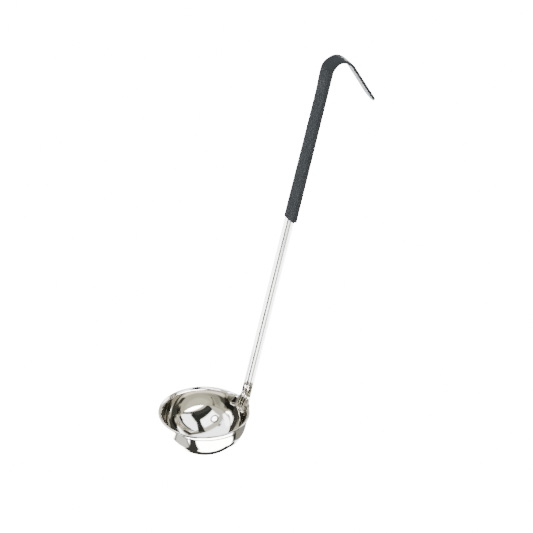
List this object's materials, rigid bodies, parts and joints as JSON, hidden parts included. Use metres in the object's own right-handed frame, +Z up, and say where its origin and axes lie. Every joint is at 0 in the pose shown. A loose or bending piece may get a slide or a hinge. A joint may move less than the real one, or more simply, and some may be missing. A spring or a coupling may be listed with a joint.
{
  "type": "ladle",
  "caption": "Small serving ladle pressed from one steel sheet: deep round bowl, ribbed upright strap handle and a hooked end under a plastic grip sleeve.",
  "frame": {"origin": "centre of the bowl's flat underside", "axes": "+Z up the bowl's axis, +X from the bowl towards the handle and the way the hook opens, +Y across the strap"},
  "size_m": [0.1816, 0.068, 0.3045],
  "materials": {
    "steel": "mirror-polished stainless steel sheet",
    "grip": "satin charcoal plastic, skin-tight on the strap"
  },
  "bodies": {
    "root": {"ladle_body": "steel", "grip_sleeve": "grip"}
  },
  "joints": []
}
